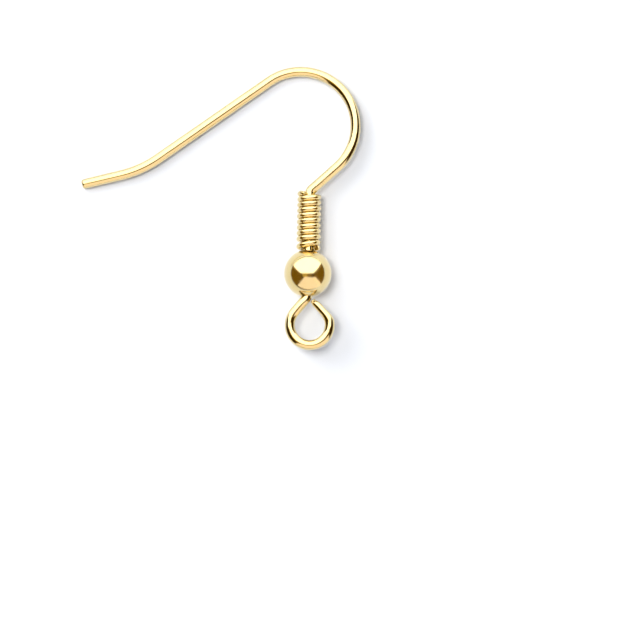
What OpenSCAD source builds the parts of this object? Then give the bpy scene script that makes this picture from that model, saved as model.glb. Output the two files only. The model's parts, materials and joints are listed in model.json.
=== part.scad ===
// Fishhook ear wire: one bent wire with a wound coil and a ball on its shank, above an open loop.
// Lengths are in millimetres and angles in degrees. Z is up, and the wire lies at rest on z = 0:
// it touches the surface at its tip, at the top of its hook and at its ball.

/* [Wire] */
// Thickness of the round wire
wire_d = 0.64; // [0.5:0.01:0.8]
// Rounding of the edge at the end that goes through the ear
tip_round = 0.12; // [0.04:0.01:0.2]
// Rounding of the edge where the loop's end was cut
cut_round = 0.05; // [0.02:0.01:0.15]

/* [Hook] */
// Clear width inside the hook
hook_inner_d = 6.32; // [5:0.05:9]
// How far the wire turns round the hook
hook_turn = 173.2; // [150:0.1:185]
// Straight wire between the hook and the neck bend
rise_length = 2.05; // [1:0.05:4]
// How sharply the wire leans away from the shank at the neck
neck_turn = 47.3; // [35:0.1:60]
// Radius of the neck bend, at the wire's middle
neck_bend_r = 0.6; // [0.5:0.05:1.2]
// Straight wire of the long tail behind the hook
tail_length = 8.5; // [6:0.1:14]
// How far the tail bends outwards near its end
tip_turn = 21.4; // [5:0.1:35]
// Radius of that bend, at the wire's middle
tip_bend_r = 6.95; // [3:0.05:12]
// Straight wire from that bend to the tip
tip_length = 2.56; // [1.5:0.01:4]

/* [Loop] */
// Clear width inside the open loop
loop_inner_d = 1.88; // [1.4:0.01:3]
// How sharply the wire leans away from the shank below the ball
foot_turn = 39.7; // [30:0.1:50]
// Radius of the foot bend, at the wire's middle
foot_bend_r = 0.6; // [0.55:0.01:0.8]
// Straight wire between the foot bend and the loop
leg_length = 1.01; // [0.6:0.01:1.6]
// How far the wire turns round the loop
loop_turn = 261.8; // [240:0.1:265]
// Straight wire between the loop and its cut end
end_length = 0.96; // [0.4:0.01:1]

/* [Ball] */
// Diameter of the ball
ball_d = 3; // [2.4:0.1:4]
// Gap between the shank and the wall of the hole through the ball, on each side
ball_clearance = 0.08; // [0.03:0.01:0.1]
// How far up inside the ball's hole the foot bend starts
foot_tuck = 0.15; // [0:0.01:0.15]

/* [Coil] */
// Thickness of the coil's wire
coil_wire_d = 0.36; // [0.25:0.01:0.45]
// Number of turns, counted from the end at the ball to the end at the neck bend
coil_turns = 9.7; // [5:0.1:14]
// Gap between the shank and the inside of the coil, on each side
coil_clearance = 0.095; // [0.06:0.005:0.14]
// Gap between one turn and the next
turn_gap = 0.005; // [0.005:0.005:0.05]
// Gap between the coil's lowest turn and the ball
seat_gap = 0.03; // [0.02:0.01:0.1]
// Where the coil's upper end lies, seen down the shank: 0 is the front, 90 the hook's side
coil_end_angle = 315; // [225:5:330]

/* [Hidden] */
gold = [0.90, 0.72, 0.36];
pale_gold = [0.95, 0.82, 0.52];
$fn = 64;

wire_r = wire_d / 2;
hook_r = hook_inner_d / 2 + wire_r;
loop_r = loop_inner_d / 2 + wire_r;

ball_r = ball_d / 2;
bore_r = wire_r + ball_clearance;
// Height of the hole's mouth above the ball's centre
mouth = sqrt(pow(ball_r, 2) - pow(bore_r, 2));

coil_wire_r = coil_wire_d / 2;
coil_r = wire_r + coil_clearance + coil_wire_r;
coil_pitch = coil_wire_d + turn_gap;
// Height at which the coil's lowest turn sits on the ball, and the height of its upper end
coil_seat = sqrt(pow(ball_r + seat_gap + coil_wire_r, 2) - pow(coil_r, 2));
coil_top = coil_seat + coil_turns * coil_pitch;
// Sides of the coil's wire, and steps in each of its turns
coil_sides = 10;
coil_steps = 20;
// The hook's side of the shank, seen down it
bend_side = 90;
// The neck bend starts where the coil last passes the hook's side of the shank
neck_start = coil_top - coil_pitch * (coil_end_angle - bend_side) / 360;
foot_start = mouth - foot_tuck;

// Each route starts at an end of the shank and lists bends and the straights that follow them.
// Columns: radius of the bend at the wire's middle, turn, positive to the left, and straight wire.
hook_route = [
    [neck_bend_r, -neck_turn, rise_length],
    [hook_r, hook_turn, tail_length],
    [tip_bend_r, -tip_turn, tip_length],
];
loop_route = [
    [foot_bend_r, -foot_turn, leg_length],
    [loop_r, loop_turn, end_length],
];
// Balls join the bends to the straights. They stand this much proud of the wire all round,
// and bridge a gap of this length on each side of the joint.
joint_proud = 0.002;
joint_gap = 0.01;

function direction(angle) = [cos(angle), sin(angle)];
// A place on a route is a point and a heading in the wire's plane, measured from the ball's centre
shank_top = [[0, neck_start], 90];
shank_foot = [[0, -foot_start], -90];
function along(place, length) = [place[0] + length * direction(place[1]), place[1]];
function side(turn) = turn < 0 ? -1 : 1;
function bend_centre(place, radius, turn) =
    place[0] + radius * direction(place[1] + side(turn) * 90);
function round_bend(place, radius, turn) =
    [bend_centre(place, radius, turn) - side(turn) * radius * direction(place[1] + turn + 90),
        place[1] + turn];
// The place after a route's first rows
function place_after(route, rows, start) =
    rows == 0 ? start :
    let(row = route[rows - 1])
    along(round_bend(place_after(route, rows - 1, start), row[0], row[1]), row[2]);
// The centre of the bend in a route's row
function centre_of(route, row, start) =
    bend_centre(place_after(route, row, start), route[row][0], route[row][1]);

tip = place_after(hook_route, len(hook_route), shank_top);
hook_centre = centre_of(hook_route, 1, shank_top);
loop_centre = centre_of(loop_route, 1, shank_foot);

// The wire lies on the line from its tip to where that line touches the hook, and on its ball
to_hook = hook_centre - tip[0];
lie_heading = atan2(to_hook.y, to_hook.x) + asin(hook_r / norm(to_hook));
lie_along = direction(lie_heading);
lie_across = direction(lie_heading - 90);
ball_offset = -tip[0] * lie_across;
tilt = asin((ball_r - wire_r) / ball_offset);

// A point of the wire's plane as it lies, seen from above, measured from the tip
function lying(point) =
    let(offset = point - tip[0])
    (offset * lie_along) * lie_along + (offset * lie_across) * cos(tilt) * lie_across;
// How far a round bar bent to a ring reaches from the ring's centre, along a level direction
function ring_reach(radius, level) =
    radius * sqrt(1 - pow(sin(tilt) * (lie_across * level), 2)) + wire_r;
// How far the rounded tip reaches, measured from its end along a level direction
function tip_reach(level) =
    let(ahead = lying(tip[0] + direction(tip[1])) * level)
    (wire_r - tip_round) * sqrt(1 - pow(ahead, 2)) + tip_round * (1 - ahead);
function reach(level) = max(
    lying(hook_centre) * level + ring_reach(hook_r, level),
    lying(loop_centre) * level + ring_reach(loop_r, level),
    lying([0, 0]) * level + ball_r,
    tip_reach(level));
middle = [reach([1, 0]) - reach([-1, 0]), reach([0, 1]) - reach([0, -1])] / 2;

// Lays down what is modelled in the wire's own plane, with the middle of its footprint at the origin
module laid() {
    translate([-middle.x, -middle.y, wire_r])
        rotate(-tilt, [lie_along.x, lie_along.y, 0])
            translate([-tip[0].x, -tip[0].y, 0])
                children();
}

// Sets what starts at the origin, heading along +X, at a place on a route
module at(place) {
    translate([place[0].x, place[0].y, 0])
        rotate([0, 0, place[1]])
            children();
}

module straight(length) {
    translate([joint_gap, 0, 0])
        rotate([0, 90, 0])
            cylinder(h = length - 2 * joint_gap, r = wire_r);
}

// A straight that ends in a cut with a rounded edge
module cut_straight(length, edge) {
    far = length - joint_gap;
    translate([joint_gap, 0, 0])
        rotate([0, 90, 0])
            rotate_extrude() {
                square([wire_r - edge, far]);
                square([wire_r, far - edge]);
                translate([wire_r - edge, far - edge])
                    intersection() {
                        circle(r = edge);
                        square(edge);
                    }
            }
}

module joint() {
    sphere(r = wire_r + joint_proud);
}

module bend(radius, turn) {
    gap_angle = joint_gap / radius * 180 / PI;
    first = turn < 0 ? 90 + turn : -90;
    translate([0, side(turn) * radius, 0])
        rotate([0, 0, first + gap_angle])
            rotate_extrude(angle = abs(turn) - 2 * gap_angle)
                translate([radius, 0])
                    circle(r = wire_r);
}

// Bends wire along a route, from its start to its cut end
module bent_wire(route, start, edge) {
    for (row = [0 : len(route) - 1]) {
        radius = route[row][0];
        turn = route[row][1];
        length = route[row][2];
        before = place_after(route, row, start);
        at(before) {
            joint();
            bend(radius, turn);
        }
        at(round_bend(before, radius, turn)) {
            joint();
            if (row == len(route) - 1)
                cut_straight(length, edge);
            else
                straight(length);
        }
    }
}

module ear_hook() {
    color(gold)
        laid() {
            at([shank_foot[0], shank_top[1]])
                straight(foot_start + neck_start);
            bent_wire(hook_route, shank_top, tip_round);
            bent_wire(loop_route, shank_foot, cut_round);
        }
}

// The coil's wire as rings of points, wound down from its upper end in a right-handed helix
module coil() {
    rings = round(coil_turns * coil_steps);
    points = [
        for (ring = [0 : rings], corner = [0 : coil_sides - 1])
            let(turns = coil_turns * ring / rings,
                angle = coil_end_angle - 360 * turns,
                out = coil_r + coil_wire_r * cos(360 * corner / coil_sides))
            [out * sin(angle),
                coil_top - coil_pitch * turns + coil_wire_r * sin(360 * corner / coil_sides),
                out * cos(angle)]
    ];
    walls = [
        for (ring = [0 : rings - 1], corner = [0 : coil_sides - 1])
            let(here = ring * coil_sides + corner,
                beside = ring * coil_sides + (corner + 1) % coil_sides)
            [here, beside, beside + coil_sides, here + coil_sides]
    ];
    upper_end = [for (corner = [coil_sides - 1 : -1 : 0]) corner];
    lower_end = [for (corner = [0 : coil_sides - 1]) rings * coil_sides + corner];
    color(pale_gold)
        laid()
            polyhedron(points, concat([upper_end], walls, [lower_end]));
}

module ball() {
    color(gold)
        laid()
            rotate([-90, 0, 0])
                difference() {
                    sphere(r = ball_r);
                    cylinder(h = 2 * ball_d, r = bore_r, center = true);
                }
}

ear_hook();
coil();
ball();
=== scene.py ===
# %% [markdown]
# # A gold-plated fishhook ear wire
# One round wire goes through the ear lobe. It carries a coil of thin wire and a 3 mm ball on its shank,
# and ends in an open loop for a drop. The imported model holds every size and place, so it is loaded first,
# and nothing that it says is moved.

# %% Load the frame
import json
from collections import namedtuple
from math import atan2, ceil, cos, degrees, hypot, pi, radians, sin, sqrt

import bmesh
import bpy
from mathutils import Matrix, Vector


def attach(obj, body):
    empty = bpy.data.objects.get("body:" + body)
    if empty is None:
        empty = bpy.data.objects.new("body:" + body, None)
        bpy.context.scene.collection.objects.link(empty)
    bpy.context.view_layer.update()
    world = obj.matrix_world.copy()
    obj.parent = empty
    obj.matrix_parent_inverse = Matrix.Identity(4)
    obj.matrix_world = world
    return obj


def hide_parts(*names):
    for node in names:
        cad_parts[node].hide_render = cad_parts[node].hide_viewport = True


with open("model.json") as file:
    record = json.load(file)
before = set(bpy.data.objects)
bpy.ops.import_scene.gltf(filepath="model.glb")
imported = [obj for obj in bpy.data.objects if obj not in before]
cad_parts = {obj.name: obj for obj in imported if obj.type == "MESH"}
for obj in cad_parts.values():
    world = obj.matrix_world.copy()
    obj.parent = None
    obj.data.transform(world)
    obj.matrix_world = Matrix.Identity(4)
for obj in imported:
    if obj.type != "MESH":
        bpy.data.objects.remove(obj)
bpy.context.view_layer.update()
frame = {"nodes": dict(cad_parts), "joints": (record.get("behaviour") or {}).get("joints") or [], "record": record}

mm = 0.001


def in_mm(place):
    """A place or a size in millimetres, rounded for printing."""
    return [round(x / mm, 3) for x in place]


print("nodes:", sorted(frame["nodes"]))

# %% [markdown]
# ## The wire's own plane
# The ear wire is bent flat, and then lies a little tilted, because the ball lifts one end off the table.
# Bending is easiest to follow on a level plane: x to the right, y up the shank, z out of the plane, and
# the ball's centre at the origin. The pieces are modelled there, and each is laid down when it is done.
# The ball's joint gives the origin and the shank's direction, and the hook's mount gives the plane.

# %% Read the plane from the joint and the mounts
joint = frame["joints"][0]
mounts = {mount["name"]: mount for mount in frame["record"]["mounts"]}

up_shank = Vector(joint["axis"]).normalized()
to_right = up_shank.cross(Vector(mounts["hook"]["axis"])).normalized()
out_of_plane = to_right.cross(up_shank)
lying = Matrix((to_right, up_shank, out_of_plane)).transposed().to_4x4()
lying.translation = Vector(joint["pos_m"])


def in_plane(point):
    """A place in the row frame, as seen in the wire's own plane."""
    return lying.inverted() @ Vector(point)


for name in ("hook", "loop"):
    print(name, "centre in mm:", in_mm(in_plane(mounts[name]["pos_m"])))

# %% [markdown]
# ## Sizes
# The sizes repeat the driving dimensions of the part, in metres. The wire's radius comes from the tip's
# mount, and the ball's from how high its centre lies, because the ball rests on the table. The coil's wire,
# turns and upper end are a trace closer to the photo than the plain solid's, so they are given anew.

# %% Sizes of the wire, the ball and its hole
wire_r = mounts["tip"]["dims"]["r_mm"] * mm
tip_round = 0.12 * mm

ball_r = joint["pos_m"][2]
ball_clearance = 0.08 * mm
bore_r = wire_r + ball_clearance
mouth = sqrt(ball_r**2 - bore_r**2)
foot_tuck = 0.15 * mm
foot_start = mouth - foot_tuck
print(f"wire {2 * wire_r / mm:.2f} mm, ball {2 * ball_r / mm:.3f} mm")

# %% Sizes of the coil
coil_wire_r = 0.352 * mm / 2
coil_turns = 9.76
coil_end_angle = radians(336)
coil_clearance = 0.095 * mm
turn_gap = 0.005 * mm
seat_gap = 0.03 * mm

coil_r = wire_r + coil_clearance + coil_wire_r
coil_pitch = 2 * coil_wire_r + turn_gap
coil_seat = sqrt((ball_r + seat_gap + coil_wire_r) ** 2 - coil_r**2)
coil_top = coil_seat + coil_turns * coil_pitch
print(f"coil {coil_seat / mm:.3f} to {coil_top / mm:.3f} mm up the shank")

# %% [markdown]
# ## The camera
# The photo looks straight down on the table, with the shank leaning about one degree. A long lens from two
# thirds of a metre keeps near and far parts of the wire at one scale, as in the photo. The camera comes
# first, so that each later step can be judged in the photo's own frame.

# %% Camera over the table
view_width = 40.455 * mm
lens, sensor = 600, 36
camera_centre = Vector((6.461 * mm, -7.040 * mm, 0))
photo_lean = radians(1.09)

bpy.ops.object.camera_add(
    location=camera_centre + Vector((0, 0, view_width * lens / sensor)), rotation=(0, 0, photo_lean))
camera = bpy.context.active_object
camera.data.lens = lens
camera.data.sensor_width = sensor
camera.data.clip_start = 0.01
camera.data.clip_end = 20
bpy.context.scene.camera = camera
print("camera", round(camera.location.z / mm), "mm above the table")

# %% [markdown]
# ## The table
# The ear wire lies on clean white paper that runs off into the distance. Views from low down look past
# the paper's edge, so a low white ring stands behind it. The ring is hidden from reflections, because the
# gold in the photo shows a flat horizon.

# %% White paper
paper_r = 0.75
paper_sides = 96

bpy.ops.object.select_all(action="DESELECT")
bpy.ops.mesh.primitive_circle_add(
    vertices=paper_sides, radius=paper_r, fill_type="NGON", location=(0, 0, 0))
paper = bpy.context.active_object
paper.name = "paper"

# %% A low ring behind the paper
ring_height = 0.045
ring_spread = 1.05

bpy.ops.object.select_all(action="DESELECT")
bpy.ops.mesh.primitive_circle_add(
    vertices=paper_sides, radius=paper_r, fill_type="NOTHING", location=(0, 0, 0))
backdrop = bpy.context.active_object
backdrop.name = "backdrop"
bpy.ops.object.mode_set(mode="EDIT")
bpy.ops.mesh.select_all(action="SELECT")
bpy.ops.mesh.extrude_region_move(TRANSFORM_OT_translate={"value": (0, 0, ring_height)})
bpy.ops.transform.resize(value=(ring_spread, ring_spread, 1))
bpy.ops.object.mode_set(mode="OBJECT")
backdrop.visible_glossy = False
backdrop.visible_diffuse = False
print("paper", len(paper.data.polygons), "face, ring", len(backdrop.data.polygons), "faces")

# %% [markdown]
# ## The light
# Polished gold has almost no colour of its own: it shows the room. The ball in the photo shows two long
# soft boxes that lean together like a tent, the lower one a trace pink, and gold along the ridge between
# them. So each box is a panel of light, and two dim warm walls stand in the gap at the ridge. The panels
# light the gold's reflections only, and the paper stays evenly white.

# %% A panel of light
def panel(name, place, turn, length, width, brightness, colour):
    """A rectangle that shows in reflections alone, where a mirror shows it at its brightness."""
    bpy.ops.object.light_add(type="AREA", location=place, rotation=turn)
    light = bpy.context.active_object
    light.name = name
    light.data.shape = "RECTANGLE"
    light.data.size, light.data.size_y = length, width
    light.data.energy = brightness * pi * length * width
    light.data.color = colour
    light.visible_camera = False
    light.visible_diffuse = False
    print(f"{name}: {length:.2f} x {width:.2f} m")
    return light


# %% Soft boxes like a tent
ridge_height = 0.5


def soft_box(name, ends, upper, lower, brightness, colour=(1, 1, 1), lean=0):
    """A panel in ridge heights: its ends in x, and its upper and lower edges as (y, z)."""
    left, right = ends
    high = Vector((0, *upper)) * ridge_height
    low = Vector((0, *lower)) * ridge_height
    length, width = (right - left) * ridge_height, (high - low).length
    middle = (high + low) / 2 + Vector(((left + right) / 2 * ridge_height, 0, 0))
    slope = (high - low).normalized()
    away = Vector((1, 0, 0)).cross(slope)
    if away.dot(middle) < 0:
        away = -away
    turn = Matrix((slope.cross(away), slope, away)).transposed() @ Matrix.Rotation(lean, 3, "Z")
    panel(name, lying.translation + middle, turn.to_euler(), length, width, brightness, colour)


soft_box("upper_box", ends=(-0.68, 0.49), upper=(0.02, 1.0), lower=(0.38, 0.03),
         brightness=2.4, lean=radians(1.5))
soft_box("lower_box", ends=(-0.36, 0.74), upper=(-0.35, 1.05), lower=(-0.51, 0.03),
         brightness=1.24, colour=(1.0, 0.89, 0.88), lean=radians(-6))
soft_box("warm_wall_left", ends=(-0.50, -0.03), upper=(0.0, 1.03), lower=(-0.36, 1.06),
         brightness=0.55, colour=(1.0, 0.72, 0.15))
soft_box("warm_wall_right", ends=(-0.03, 0.42), upper=(0.0, 1.03), lower=(-0.34, 1.06),
         brightness=0.15, colour=(1.0, 0.55, 0.0))

# %% [markdown]
# ## The tent's open ends
# The ball and the coil look out of the tent's open ends, and in the photo they show deep gold there instead
# of black. So a large dim golden screen stands beyond each end. The wire's darkest lines are nearly black,
# so the screens are to light the ball and the coil alone, which is set once those exist.

# %% Dim golden screens at the open ends
screen_width, screen_height = 2.4 * ridge_height, 1.8 * ridge_height
screen_out, screen_up = 1.1, 0.92
screen_brightness = 0.15
deep_gold = (1.0, 0.55, 0.01)
screens = []

for name, side in (("left_screen", -1), ("right_screen", 1)):
    place = lying.translation + ridge_height * Vector((screen_out * side, 0, screen_up))
    screens.append(panel(name, place, (0, side * pi / 2, 0), screen_height, screen_width,
                         screen_brightness, deep_gold))

# %% [markdown]
# ## The lamps over the paper
# The shadow in the photo is soft and lies close to the metal, down and to the right. A high lamp and a
# softer low one from the upper left draw it, and a very soft cool one overhead keeps it pale. They stay
# out of the reflections, where they would show as hot spots.

# %% Light for the paper and its shadow
white_paper = 0.86


def lamp(name, direction, softness, share, colour=(1, 1, 1)):
    """A distant lamp that gives its share of the paper's brightness and stays out of the reflections."""
    towards = Vector(direction).normalized()
    turn = towards.to_track_quat("Z", "Y").to_euler()
    bpy.ops.object.light_add(type="SUN", location=towards, rotation=turn)
    sun = bpy.context.active_object
    sun.name = name
    sun.data.angle = softness
    sun.data.energy = share * pi / (white_paper * towards.z)
    sun.data.color = colour
    sun.visible_glossy = False
    print(f"{name}: {sun.data.energy:.2f} W/m2")
    return sun


lamp("high_lamp", (-0.19, 0.14, 1), softness=radians(18), share=0.47)
low_lamp = lamp("low_lamp", (-0.84, 0.56, 1), softness=radians(38), share=0.35)
lamp("fill_lamp", (0, 0, 1), softness=radians(160), share=0.23, colour=(0.80, 0.93, 1.20))

# %% [markdown]
# ## Modelling helpers
# Operators work on whatever is selected. So each helper clears the selection first, selects by place, and
# leaves only what the next step needs. Edit mode is entered once for a piece and left when it is done.

# %% Selecting and starting a piece
def start_piece(name):
    """Names the primitive that was just added and goes into edit mode with nothing selected."""
    piece = bpy.context.active_object
    piece.name = name
    piece.data.name = name
    bpy.ops.object.mode_set(mode="EDIT")
    bpy.ops.mesh.select_mode(type="VERT")
    bpy.ops.mesh.select_all(action="DESELECT")
    return piece


def press(centre, reach, squeeze, shift=(0, 0, 0)):
    """Squeezes and shifts what is selected, and eases off along the metal within reach."""
    soft = {"use_proportional_edit": True, "use_proportional_connected": True,
            "proportional_edit_falloff": "SMOOTH", "proportional_size": reach}
    bpy.ops.transform.resize(value=squeeze, center_override=centre, **soft)
    bpy.ops.transform.translate(value=shift, **soft)


def select(piece, parts, wanted):
    """Selects the verts, edges or faces of a piece in edit mode for which wanted(part) is true."""
    bpy.ops.mesh.select_all(action="DESELECT")
    mesh = bmesh.from_edit_mesh(piece.data)
    found = [part for part in getattr(mesh, parts) if wanted(part)]
    for part in found:
        part.select_set(True)
    mesh.select_flush_mode()
    bmesh.update_edit_mesh(piece.data)
    return len(found)


def lay_down(piece):
    """Merges doubles, turns the faces outwards, shades the piece and puts it where it lies."""
    bpy.ops.mesh.select_all(action="SELECT")
    bpy.ops.mesh.remove_doubles(threshold=1e-7)
    bpy.ops.mesh.normals_make_consistent(inside=False)
    bpy.ops.mesh.select_all(action="DESELECT")
    bpy.ops.object.mode_set(mode="OBJECT")
    bpy.ops.object.select_all(action="DESELECT")
    piece.select_set(True)
    bpy.context.view_layer.objects.active = piece
    bpy.ops.object.shade_smooth_by_angle(angle=radians(35))
    piece.matrix_world = lying @ piece.matrix_world
    bpy.ops.object.transform_apply(location=True, rotation=True, scale=True)
    print(piece.name, len(piece.data.vertices), "vertices,", len(piece.data.polygons), "faces")


# %% [markdown]
# ## The route of the wire
# A machine bends the wire from straight stock: feed a length, bend round a pin, feed again. The route
# is that list of steps, from the tip to the loop's cut end, with the part's own lengths and turns. Each
# step keeps where it starts and how much wire was used before it, and the finish uses that later to run
# the drawing lines along the wire.

# %% Places and steps of a route
Place = namedtuple("Place", "x y heading")
Step = namedtuple("Step", "start radius turn length before")


def middle_at(place):
    """The middle of the wire at a place."""
    return Vector((place.x, place.y, 0))


def ahead(heading):
    """One unit forward along a heading."""
    return Vector((cos(heading), sin(heading), 0))


def forward(place, length):
    """The place after a straight of this length."""
    return Place(place.x + length * cos(place.heading), place.y + length * sin(place.heading),
                 place.heading)


def pin_centre(place, radius, turn):
    """Where the pin stands that the wire is bent round: to the left for a positive turn."""
    to_pin = place.heading + (pi / 2 if turn > 0 else -pi / 2)
    return Vector((place.x + radius * cos(to_pin), place.y + radius * sin(to_pin), 0))


def step_end(step):
    """The place where a step ends: straight on, or round its pin."""
    if not step.turn:
        return forward(step.start, step.length)
    pin = pin_centre(step.start, step.radius, step.turn)
    from_pin = atan2(step.start.y - pin.y, step.start.x - pin.x) + step.turn
    return Place(pin.x + step.radius * cos(from_pin), pin.y + step.radius * sin(from_pin),
                 step.start.heading + step.turn)


# %% Start at the tip
tip_mount = mounts["tip"]
tip_reach = tip_mount["dims"]["length_mm"] * mm / 2 + tip_round
tip_at = in_plane(Vector(tip_mount["pos_m"]) + tip_reach * Vector(tip_mount["axis"]))
tip_out = lying.inverted().to_3x3() @ Vector(tip_mount["axis"])
tip = Place(tip_at.x, tip_at.y, atan2(-tip_out.y, -tip_out.x))
print("tip in mm:", in_mm(tip_at))

# %% Feed and bend
route = []


def add_step(radius, turn, length):
    """Adds a step that starts where the last one ended, or at the tip."""
    start, before = (step_end(route[-1]), route[-1].before + route[-1].length) if route else (tip, 0)
    route.append(Step(start, radius, turn, length, before))
    return route[-1]


def feed(length):
    """Feeds a straight length of wire."""
    return add_step(0, 0, length)


def bend(radius, turn_deg):
    """Bends the wire round a pin. The radius reaches to the wire's middle."""
    turn = radians(turn_deg)
    return add_step(radius, turn, radius * abs(turn))


# %% Walk the route from the tip to the loop's cut end
hook_inner = 6.32 * mm
loop_inner = 1.88 * mm
sharp_bend_r = 0.6 * mm

tip_end = feed(2.56 * mm)
bend(6.95 * mm, 21.4)
tail = feed(8.5 * mm)
bend(hook_inner / 2 + wire_r, -173.2)
rise = feed(2.05 * mm)
neck = bend(sharp_bend_r, 47.3)
shank_top = step_end(neck)
feed(shank_top.y + foot_start)
foot = bend(sharp_bend_r, -39.7)
leg = feed(1.01 * mm)
bend(loop_inner / 2 + wire_r, 261.8)
cut_end = feed(0.96 * mm)
wire_length = cut_end.before + cut_end.length
print(f"shank at x = {shank_top.x / mm:.4f} mm, heading {degrees(shank_top.heading):.2f} degrees")
print(f"{wire_length / mm:.2f} mm of wire in {len(route)} steps")

# %% [markdown]
# ## The bent wire
# A tube could come from a curve, but bending it as the machine does keeps every straight straight and
# every bend a true arc. A circle is added at the tip, extruded ring by ring along each straight, and
# spun round the pin of each bend. The rings stand little more than a tenth of a millimetre apart, close
# enough for the small marks of the tools, and wider at the two ends, to leave room for rounding them.

# %% Extrude the straights and spin the bends
wire_sides = 48
ring_gap = 0.14 * mm
bend_gap = radians(4)
end_stride = 0.3 * mm
burr_length = 0.22 * mm

bpy.ops.object.select_all(action="DESELECT")
bpy.ops.mesh.primitive_circle_add(
    vertices=wire_sides, radius=wire_r, fill_type="NOTHING",
    location=(tip.x, tip.y, 0), rotation=(pi / 2, 0, tip.heading + pi / 2))
bpy.ops.object.transform_apply(location=True, rotation=True, scale=True)
wire = start_piece("bent_wire")
bpy.ops.mesh.select_all(action="SELECT")


def strides(step):
    """The lengths between rings on a straight. The last one at the cut end is the burr's."""
    first = [end_stride] if step is tip_end else []
    last = [end_stride - burr_length, burr_length] if step is cut_end else []
    rest = step.length - sum(first) - sum(last)
    rings = ceil(rest / ring_gap)
    return [*first, *[rest / rings] * rings, *last]


for step in route:
    if step.turn:
        rings = max(ceil(step.length / ring_gap), ceil(abs(step.turn) / bend_gap))
        pin = pin_centre(step.start, step.radius, step.turn)
        bpy.ops.mesh.spin(steps=rings, angle=-step.turn, center=pin, axis=(0, 0, 1))
    else:
        for stride in strides(step):
            bpy.ops.mesh.extrude_region_move(TRANSFORM_OT_translate={
                "value": (stride * cos(step.start.heading), stride * sin(step.start.heading), 0)})

print(len(bmesh.from_edit_mesh(wire.data).verts), "vertices before the ends are closed")

# %% [markdown]
# ## The wire's two ends
# The end that goes through the ear is tumbled until it is round, so that it never scratches. The end at
# the loop is nipped off. The cutters neck the wire just behind the cut, which leaves a small burr, and they
# pinch the end thinner towards the inside of the loop and draw it out a little. So one ring is drawn in
# for the neck. Then each end is closed with a face, squeezed softly, and rounded with a bevel.

# %% Neck the wire behind the burr
neck_size = 0.80
end = step_end(cut_end)
cut_at = middle_at(end)
burr_at = middle_at(forward(end, -burr_length))


def ring_round(centre):
    """Picks the vertices of the ring of wire round a centre."""
    return lambda vert: abs((vert.co - centre).length - wire_r) < 1e-3 * mm


print("ring behind the burr:", select(wire, "verts", ring_round(burr_at)), "vertices")
bpy.ops.transform.resize(value=(neck_size, neck_size, neck_size), center_override=burr_at)

# %% Close, pinch and round both ends
def close_end(centre, pivot, reach, squeeze, shift, edge_round):
    """Closes the ring round a centre, squeezes it towards the pivot, shifts it and rounds its edge."""
    print("ring at an end:", select(wire, "verts", ring_round(centre)), "vertices")
    bpy.ops.mesh.edge_face_add()
    press(pivot, reach, squeeze, shift)
    bpy.ops.mesh.bevel(offset=edge_round, segments=8, affect="EDGES")


inside_loop = ahead(end.heading + pi / 2)
drawn_out = 0.10 * mm

close_end(tip_at, pivot=tip_at, reach=0.6 * mm, squeeze=(0.93, 0.93, 0.93), shift=(0, 0, 0),
          edge_round=0.15 * mm)
close_end(cut_at, pivot=cut_at + wire_r * inside_loop, reach=1.5 * mm, squeeze=(0.62, 0.62, 0.80),
          shift=drawn_out * ahead(end.heading), edge_round=0.08 * mm)

# %% [markdown]
# ## Marks of the bending tool
# A sharp bend is pressed a little flat between pin and jaw, and the jaw leaves a shallow dent beside it.
# One ring or a few vertices are selected and pressed with a soft falloff, so the light bends there too.

# %% Press the sharp bends
flattened = (1, 1, 0.93)
flat_reach = 0.5 * mm
half_ring = 0.03 * mm


def half_way(step):
    """The place in the middle of a bend."""
    return step_end(step._replace(turn=step.turn / 2, length=step.length / 2))


for step in (neck, foot):
    place = half_way(step)
    centre, along_wire = middle_at(place), ahead(place.heading)
    found = select(wire, "verts", lambda vert: (vert.co - centre).length < wire_r * 1.001
                   and abs((vert.co - centre).dot(along_wire)) < half_ring)
    press(centre, flat_reach, flattened)
    print("pressed a bend:", found, "vertices")

# %% Dent the wire where the jaws held it
dent_depth, dent_r, dent_reach = 0.010 * mm, 0.09 * mm, 0.22 * mm
to_side, to_top = 0.75, 0.66
jaws = []

for step, share, side in ((rise, 0.55, 1), (rise, 0.82, -1), (leg, 0.30, 1), (tail, 0.06, -1)):
    place = forward(step.start, step.length * share)
    jaws.append(step.before + step.length * share)
    normal = ahead(place.heading + side * pi / 2)
    spot = middle_at(place) + wire_r * (to_side * normal + Vector((0, 0, to_top)))
    found = select(wire, "verts", lambda vert: (vert.co - spot).length < dent_r)
    press(spot, dent_reach, (1, 1, 1), -dent_depth * (spot - middle_at(place)).normalized())
    print("dent:", found, "vertices")

# %% [markdown]
# The cutters also flatten the outside of the wire where the loop's bend runs into its straight end, so the
# spot there is pressed inwards over a wider reach.

# %% Flatten the shoulder of the loop
shoulder_depth, shoulder_r, shoulder_reach = 0.09 * mm, 0.12 * mm, 0.75 * mm
before_end = 0.10 * mm

shoulder = forward(cut_end.start, -before_end)
outwards = ahead(shoulder.heading - pi / 2)
spot = middle_at(shoulder) + wire_r * outwards
found = select(wire, "verts", lambda vert: (vert.co - spot).length < shoulder_r)
press(spot, shoulder_reach, (1, 1, 1), -shoulder_depth * outwards)
print("shoulder:", found, "vertices")

# %% [markdown]
# ## The loop leans a little
# The loop was turned by hand after the ball went on, and it leans a little out of the hook's plane, towards
# the table. All of it is turned about a point on the shank's line, just below the ball, and the foot eases
# the turn in. Only three degrees are needed to change what the loop reflects.

# %% Lean the loop
lean = radians(-3)
lean_ease = 0.5 * mm
below_ball = 0.3 * mm
loop_side = 2 * mm
lean_pivot = Vector((0, -mouth - below_ball, 0))

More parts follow.
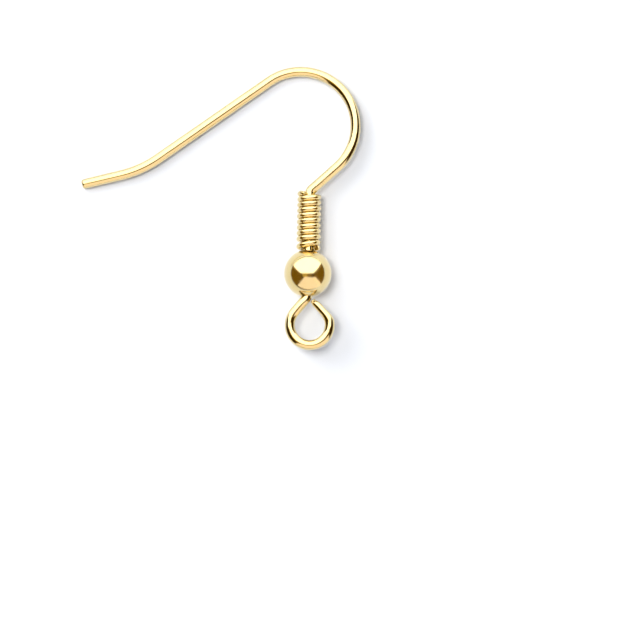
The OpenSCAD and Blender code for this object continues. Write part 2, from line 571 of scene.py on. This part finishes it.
found = select(wire, "verts", lambda vert: vert.co.y < lean_pivot.y - lean_ease
               and abs(vert.co.x) < loop_side)
bpy.ops.transform.rotate(
    value=lean, orient_axis="X", orient_type="GLOBAL", center_override=lean_pivot,
    use_proportional_edit=True, use_proportional_connected=True,
    proportional_edit_falloff="SMOOTH", proportional_size=lean_ease)
lowest = min(bmesh.from_edit_mesh(wire.data).verts, key=lambda vert: vert.co.y)
print(f"leaned {found} vertices; the loop's lowest point is at z = {lowest.co.z / mm:.3f} mm")

# %% Lay the wire down
lay_down(wire)

# %% [markdown]
# ## The coil
# Thin wire is wound tightly on the shank, and its ends are snipped. The Screw modifier winds a circle
# round an axis and feeds it along at the same time, which is exactly a winding machine. The circle is
# set beside the shank at the upper end, with the shank as the axis, and wound down towards the ball.

# %% Wind the coil
coil_sides = 24
coil_steps = 64

bpy.ops.object.select_all(action="DESELECT")
bpy.ops.mesh.primitive_circle_add(
    vertices=coil_sides, radius=coil_wire_r, fill_type="NOTHING",
    location=(coil_r * sin(coil_end_angle), coil_top, coil_r * cos(coil_end_angle)),
    rotation=(0, coil_end_angle - pi / 2, 0))
coil = bpy.context.active_object
coil.name = coil.data.name = "wound_coil"
bpy.ops.object.transform_apply(location=True, rotation=True, scale=True)

winding = coil.modifiers.new("winding", "SCREW")
winding.axis = "Y"
winding.angle = -2 * pi * coil_turns
winding.screw_offset = -coil_pitch * coil_turns
winding.steps = winding.render_steps = round(coil_steps * coil_turns)
winding.use_merge_vertices = False
bpy.ops.object.modifier_apply(modifier=winding.name)
print("coil", len(coil.data.vertices), "vertices")

# %% Snip and close its ends
bpy.ops.object.mode_set(mode="EDIT")
bpy.ops.mesh.select_mode(type="VERT")
half_way_up = (coil_seat + coil_top) / 2
snip_reach = 0.45 * mm


def close_coil_end(upper, squeeze, edge_round):
    """Closes an end of the coil's wire, squeezes it towards its lowest point and rounds its edge."""
    found = select(coil, "verts", lambda vert: vert.is_boundary and (vert.co.y > half_way_up) == upper)
    bpy.ops.mesh.edge_face_add()
    ring = [vert.co.copy() for vert in bmesh.from_edit_mesh(coil.data).verts if vert.select]
    lowest = min(ring, key=lambda place: place.y)
    press(lowest, snip_reach, squeeze)
    bpy.ops.mesh.bevel(offset=edge_round, segments=5, affect="EDGES")
    print("ring at an end of the coil:", found, "vertices")


close_coil_end(upper=True, squeeze=(0.84, 0.72, 0.84), edge_round=0.06 * mm)
close_coil_end(upper=False, squeeze=(0.97, 0.97, 0.97), edge_round=0.035 * mm)

# %% [markdown]
# The last turn is pushed down on the ball by hand, on the side away from its cut end. The ring at that
# place is shifted, and the turn follows softly on both sides.

# %% Press the last turn on the ball
turns_to_left = 0.575
pushed_down = 0.13 * mm
push_reach = 1.5 * mm
half_slice = 0.06 * mm

lowest_left = Vector((-coil_r, coil_seat + turns_to_left * coil_pitch, 0))
found = select(coil, "verts", lambda vert: (vert.co - lowest_left).length < coil_wire_r * 1.02
               and abs(vert.co.z) < half_slice)
press(lowest_left, push_reach, (1, 1, 1), (0, -pushed_down, 0))
print("pressed", found, "vertices")

lay_down(coil)

# %% [markdown]
# ## The ball
# The ball is a plain polished bead with a hole through it. A sphere is added with its poles on the shank's
# axis, its caps are deleted inside the hole, the open edges are drawn in to the hole's size, and the two
# edges are bridged through the ball. The upper mouth is drawn in close round the shank, and the lower one
# is wider, because the foot bend starts in it. A bevel rounds both rims.

# %% A sphere without its caps
cap_margin = 0.03 * mm

bpy.ops.object.select_all(action="DESELECT")
bpy.ops.mesh.primitive_uv_sphere_add(
    segments=128, ring_count=80, radius=ball_r, location=(0, 0, 0), rotation=(pi / 2, 0, 0))
bpy.ops.object.transform_apply(location=True, rotation=True, scale=True)
ball = start_piece("drilled_ball")


def off_axis(vert):
    """How far a vertex lies from the shank's axis."""
    return hypot(vert.co.x, vert.co.z)


in_hole = select(ball, "faces", lambda face: min(map(off_axis, face.verts)) < bore_r + cap_margin)
bpy.ops.mesh.delete(type="FACE")
print("faces in the hole:", in_hole)

# %% Draw in the two mouths and bridge them
upper_mouth_gap = 0.03 * mm
rims = {1: wire_r + upper_mouth_gap, -1: bore_r}

for end_y, new_r in rims.items():
    select(ball, "verts", lambda vert: vert.is_boundary and vert.co.y * end_y > 0)
    rim = [vert for vert in bmesh.from_edit_mesh(ball.data).verts if vert.select]
    rim_r, rim_y = off_axis(rim[0]), rim[0].co.y
    new_y = end_y * sqrt(ball_r**2 - new_r**2)
    bpy.ops.mesh.extrude_region_move(TRANSFORM_OT_translate={"value": (0, new_y - rim_y, 0)})
    bpy.ops.transform.resize(value=(new_r / rim_r, 1, new_r / rim_r), center_override=(0, new_y, 0))

print("vertices bridged:", select(ball, "verts", lambda vert: vert.is_boundary))
bpy.ops.mesh.bridge_edge_loops()

# %% Round the two rims
rim_round = 0.03 * mm


def on_rim(edge):
    """Whether an edge runs round one of the two mouths."""
    one, other = edge.verts
    return one.co.y * other.co.y > 0 and all(
        abs(off_axis(vert) - rims[1 if vert.co.y > 0 else -1]) < 1e-3 * mm for vert in edge.verts)


bpy.ops.mesh.select_mode(type="EDGE")
print("edges on the two rims:", select(ball, "edges", on_rim))
bpy.ops.mesh.bevel(offset=rim_round, segments=5, affect="EDGES")
lay_down(ball)

# %% [markdown]
# ## Writing finishes as sums
# A finish is a sum of small marks, and sums are easier to read as Python than as wires between nodes.
# A Socket wraps one output of the node tree, and its operators add Math nodes.

# %% Sockets that can be added and multiplied
class Socket:
    """One number in a finish's node tree. Arithmetic on it adds Math nodes."""

    def __init__(self, finish, output):
        self.finish = finish
        self.output = output

    def math(self, operation, *values, clamp=False):
        """The result of a Math node on these values."""
        settings = {"operation": operation, "use_clamp": clamp}
        return self.finish.node("Math", settings, dict(enumerate(values))).Value

    def __add__(self, other):
        return self.math("ADD", self, other)

    def __sub__(self, other):
        return self.math("SUBTRACT", self, other)

    def __rsub__(self, other):
        return self.math("SUBTRACT", other, self)

    def __mul__(self, other):
        return self.math("MULTIPLY", self, other)

    def __truediv__(self, other):
        return self.math("DIVIDE", self, other)

    def __abs__(self):
        return self.math("ABSOLUTE", self)

    def clamped(self):
        """The same number, kept between 0 and 1."""
        return self.math("ADD", self, 0, clamp=True)

    __radd__ = __add__
    __rmul__ = __mul__


class Made:
    """A node that was made: its outputs are read by name."""

    def __init__(self, finish, node):
        self.finish = finish
        self.node = node

    def __getattr__(self, name):
        return Socket(self.finish, self.node.outputs[name])


class Finish:
    """The node tree of a material or a world, emptied and ready to be filled."""

    def __init__(self, owner):
        owner.use_nodes = True
        self.tree = owner.node_tree
        self.tree.nodes.clear()

    def node(self, kind, settings=None, inputs=None):
        """Adds a node: its settings first, then the values or links of its sockets."""
        node = self.tree.nodes.new("ShaderNode" + kind)
        for name, value in (settings or {}).items():
            if name == "stops":
                ramp = node.color_ramp
                while len(ramp.elements) < len(value):
                    ramp.elements.new(0.5)
                for element, (position, grey) in zip(ramp.elements, value):
                    element.position = position
                    element.color = (grey, grey, grey, 1)
            else:
                setattr(node, name, value)
        for name, value in (inputs or {}).items():
            if isinstance(value, Socket):
                self.tree.links.new(value.output, node.inputs[name])
            else:
                node.inputs[name].default_value = value
        return Made(self, node)


# %% [markdown]
# ## The gold finish
# The plating is thin polished gold, so each finish is a metal, and its colour drifts slightly where the
# plating is thicker. A thin clear coat over it gives the paler gloss that such plating has when it is
# lacquered against wear. The patterns below give each finish a height in metres and a roughness, and the
# shader turns the height into tiny slopes. A Mix node's sockets share their names, so they go by number.

# %% Gold from its patterns
gold_colour = (0.785, 0.647, 0.318, 1)
warm_gold_colour = (0.785, 0.612, 0.264, 1)


def gold(name, make_marks):
    """A gold material. make_marks(finish) gives its height in metres, its roughness and its warmth."""
    material = bpy.data.materials.new(name)
    finish = Finish(material)
    height, roughness, warmth = make_marks(finish)
    factor, first, second, mixed = 0, 6, 7, 2
    colour = finish.node("Mix", {"data_type": "RGBA"},
                         {factor: warmth, first: gold_colour, second: warm_gold_colour})
    bump = finish.node("Bump", {}, {"Strength": 1.0, "Distance": 1.0, "Height": height})
    shader = finish.node("BsdfPrincipled", {}, {
        "Base Color": Socket(finish, colour.node.outputs[mixed]), "Metallic": 1.0,
        "Roughness": roughness, "Normal": bump.Normal,
        "Coat Weight": 0.6, "Coat Roughness": 0.06, "Coat IOR": 1.5})
    finish.node("OutputMaterial", {}, {"Surface": shader.BSDF})
    return material


# %% Patterns at their real size
def noise(finish, where, size, detail=2.0, stretch=(1, 1, 1), turn=(0, 0, 0)):
    """Noise whose blobs are about one size across, in metres, stretched and turned along the axes."""
    scaled = finish.node("Mapping", {"vector_type": "TEXTURE"},
                         {"Vector": where, "Scale": [size * s for s in stretch], "Rotation": turn})
    return finish.node("TexNoise", {}, {"Vector": scaled.Vector, "Scale": 1.0, "Detail": detail}).Fac


def above(finish, value, low, high):
    """0 below low, 1 above high, and a ramp between: the sparse peaks of a noise."""
    return finish.node("ValToRGB", {"stops": [(low, 0), (high, 1)]}, {"Fac": value}).Color


def along(finish, where, axis):
    """One of a place's three coordinates."""
    return getattr(finish.node("SeparateXYZ", {}, {"Vector": where}), axis)


# %% [markdown]
# ## Marks of drawing, handling and tools
# Wire is pulled through a die, which leaves fine lines along it. Tumbling and handling add short
# scratches, tiny pits and a breath of haze. Where the bending jaws held the wire they leave a few faint
# lines across it. All of these are one or two thousandths of a millimetre deep, and a slow wave of four
# thousandths bends the reflections a little.

# %% Marks on the drawn wire
def drawn_marks(finish, held_at=()):
    """Lines, waves, scratches along and across, pits and haze, and the jaws' marks where it was held."""
    rod = finish.node("Attribute", {"attribute_name": "rod"}).Vector
    lines = noise(finish, rod, 0.034 * mm, detail=3.0, stretch=(1, 1, 160))
    wave = noise(finish, rod, 1.3 * mm)
    scratches = above(finish, noise(finish, rod, 0.045 * mm, stretch=(1, 1, 16)), 0.66, 0.71)
    nicks = above(finish, noise(finish, rod, 0.03 * mm, stretch=(7, 7, 1)), 0.69, 0.75)
    pits = above(finish, noise(finish, rod, 0.02 * mm), 0.72, 0.78)
    haze = noise(finish, rod, 2.2 * mm, detail=4.0)
    height = (lines * (0.0020 * mm) + wave * (0.004 * mm) - scratches * (0.0010 * mm)
              - nicks * (0.0009 * mm) - pits * (0.0010 * mm))
    roughness = 0.045 + 0.05 * haze + 0.05 * lines + 0.12 * scratches + 0.08 * nicks
    if held_at:
        place = along(finish, rod, "Z")
        teeth = above(finish, noise(finish, rod, 0.05 * mm, detail=1.0, stretch=(12, 12, 1)), 0.54, 0.60)
        touched = above(finish, noise(finish, rod, 0.22 * mm, detail=1.0), 0.46, 0.54)
        held = sum((1 - abs(place - at) / (0.5 * mm)).clamped() for at in held_at)
        marks = held * teeth * touched
        height = height - marks * (0.0017 * mm)
        roughness = roughness + marks * 0.08
    return height, roughness, haze


# %% Marks on the ball
def ball_marks(finish):
    """Slight waves, fine scratches both ways, pits, haze, and the drill's rings round the hole."""
    place = finish.node("Attribute", {"attribute_name": "rod"}).Vector
    wave = noise(finish, place, 0.8 * mm)
    one_way = noise(finish, place, 0.022 * mm, stretch=(16, 1, 1), turn=(0, 0, 0.5))
    other_way = noise(finish, place, 0.02 * mm, stretch=(1, 14, 1), turn=(0, 0, 0.9))
    scratches = above(finish, one_way, 0.68, 0.73) + above(finish, other_way, 0.69, 0.74)
    pits = above(finish, noise(finish, place, 0.02 * mm), 0.73, 0.79)
    haze = noise(finish, place, 0.6 * mm, detail=5.0)
    flat = finish.node("VectorMath", {"operation": "MULTIPLY"}, {0: place, 1: (1, 0, 1)})
    from_axis = finish.node("VectorMath", {"operation": "LENGTH"}, {0: flat.Vector}).Value
    rings = finish.node("TexNoise", {"noise_dimensions": "1D"},
                        {"W": from_axis / (0.02 * mm), "Scale": 1.0}).Fac
    near_hole = ((0.62 * mm - from_axis) / (0.2 * mm)).clamped()
    height = (wave * (0.0040 * mm) - scratches * (0.0005 * mm) - pits * (0.0007 * mm)
              - near_hole * rings * (0.0012 * mm))
    roughness = 0.08 + 0.15 * haze + 0.08 * scratches + 0.08 * near_hole
    return height, roughness, haze


# %% [markdown]
# ## Where each point was before bending
# Drawing lines follow the wire round every bend, so the pattern can't read the place in the room. Each
# vertex gets the place that it had on the straight wire: across it in x and y, and along it in z.

# %% Straighten the wire and the coil for their patterns
def unbend(point):
    """A point of the plane, given as the place it had while the wire was straight."""
    best = None
    for step in route:
        if step.turn:
            pin = pin_centre(step.start, step.radius, step.turn)
            side = 1 if step.turn > 0 else -1
            start_angle = atan2(step.start.y - pin.y, step.start.x - pin.x)
            turned = side * (atan2(point.y - pin.y, point.x - pin.x) - start_angle)
            angle = (turned + pi / 4) % (2 * pi) - pi / 4
            forth = angle * step.radius
            across = side * (step.radius - hypot(point.x - pin.x, point.y - pin.y))
        else:
            dx, dy = point.x - step.start.x, point.y - step.start.y
            forth = dx * cos(step.start.heading) + dy * sin(step.start.heading)
            across = dy * cos(step.start.heading) - dx * sin(step.start.heading)
        past = max(-forth, forth - step.length, 0)
        distance = hypot(hypot(across, point.z) - wire_r, past)
        if best is None or distance < best[0]:
            best = (distance, Vector((across, point.z, step.before + forth)))
    return best[1]


def unwind(point):
    """A point of the plane, given as the place it had while the coil's wire was straight."""
    part_turn = (coil_end_angle - atan2(point.x, point.z)) / (2 * pi) % 1
    turns = part_turn + round((coil_top - point.y) / coil_pitch - part_turn)
    height = coil_top - coil_pitch * turns
    return Vector((hypot(point.x, point.z) - coil_r, point.y - height, turns * 2 * pi * coil_r))


def keep_rod(piece, straighten):
    """Stores each vertex's place on the straight piece as the attribute rod."""
    to_plane = lying.inverted()
    rod = piece.data.attributes.new("rod", "FLOAT_VECTOR", "POINT")
    for vertex in piece.data.vertices:
        rod.data[vertex.index].vector = straighten(to_plane @ vertex.co)


keep_rod(wire, unbend)
keep_rod(coil, unwind)
keep_rod(ball, Vector)
longest = max(entry.vector.z for entry in wire.data.attributes["rod"].data)
print(f"rod reaches {longest / mm:.2f} mm of {wire_length / mm:.2f} mm")

# %% Put the finishes on
wire.data.materials.append(gold("gold_wire", lambda finish: drawn_marks(finish, jaws)))
coil.data.materials.append(gold("gold_coil", drawn_marks))
ball.data.materials.append(gold("gold_ball", ball_marks))
for piece in (wire, coil, ball):
    material = piece.data.materials[0]
    print(material.name, len(material.node_tree.nodes), "nodes")

# %% White for the paper
white = bpy.data.materials.new("white_paper")
paper_finish = Finish(white)
shader = paper_finish.node("BsdfPrincipled", {}, {
    "Base Color": (white_paper, white_paper, white_paper, 1), "Roughness": 0.7})
paper_finish.node("OutputMaterial", {}, {"Surface": shader.BSDF})
paper.data.materials.append(white)
backdrop.data.materials.append(white)

# %% [markdown]
# ## The room
# Beyond the soft boxes and the screens the room is dark and brown. It is there for the reflections, so it
# sheds no light on the paper. Two links finish the light. The low lamp draws the soft shadow of the wire,
# which lies close to the paper, and the ball and the coil stand higher and take theirs from the high lamp.
# So the wire alone blocks the low lamp. And the ball and the coil alone see the golden screens.

# %% The dark room round the tent
room = bpy.data.worlds.new("room")
bpy.context.scene.world = room
room_finish = Finish(room)
background = room_finish.node("Background", {}, {"Color": (0.05, 0.025, 0, 1), "Strength": 1.0})
room_finish.node("OutputWorld", {}, {"Surface": background.Background})
room.cycles_visibility.diffuse = False
bpy.context.scene.view_settings.view_transform = "Standard"

# %% Which pieces block the low lamp
blockers = bpy.data.collections.new("near_the_paper")
blockers.objects.link(wire)
low_lamp.light_linking.blocker_collection = blockers

# %% Which pieces see the golden screens
bright_ends = bpy.data.collections.new("sees_the_screens")
bright_ends.objects.link(ball)
bright_ends.objects.link(coil)
for screen in screens:
    screen.light_linking.receiver_collection = bright_ends

# %% [markdown]
# ## Riding on the part's bodies
# The wire and its coil are one body, and the ball is another, because it turns on the shank. Each piece
# stands for its CAD node, which stays hidden for collision.

# %% Ride on the bodies and hide the CAD nodes
for piece, body, node, slot in (
    (wire, "wire", "ear_hook", "gold_wire"),
    (coil, "wire", "coil", "gold_coil"),
    (ball, "bead", "ball", "gold_ball"),
):
    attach(piece, body)
    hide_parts(node)
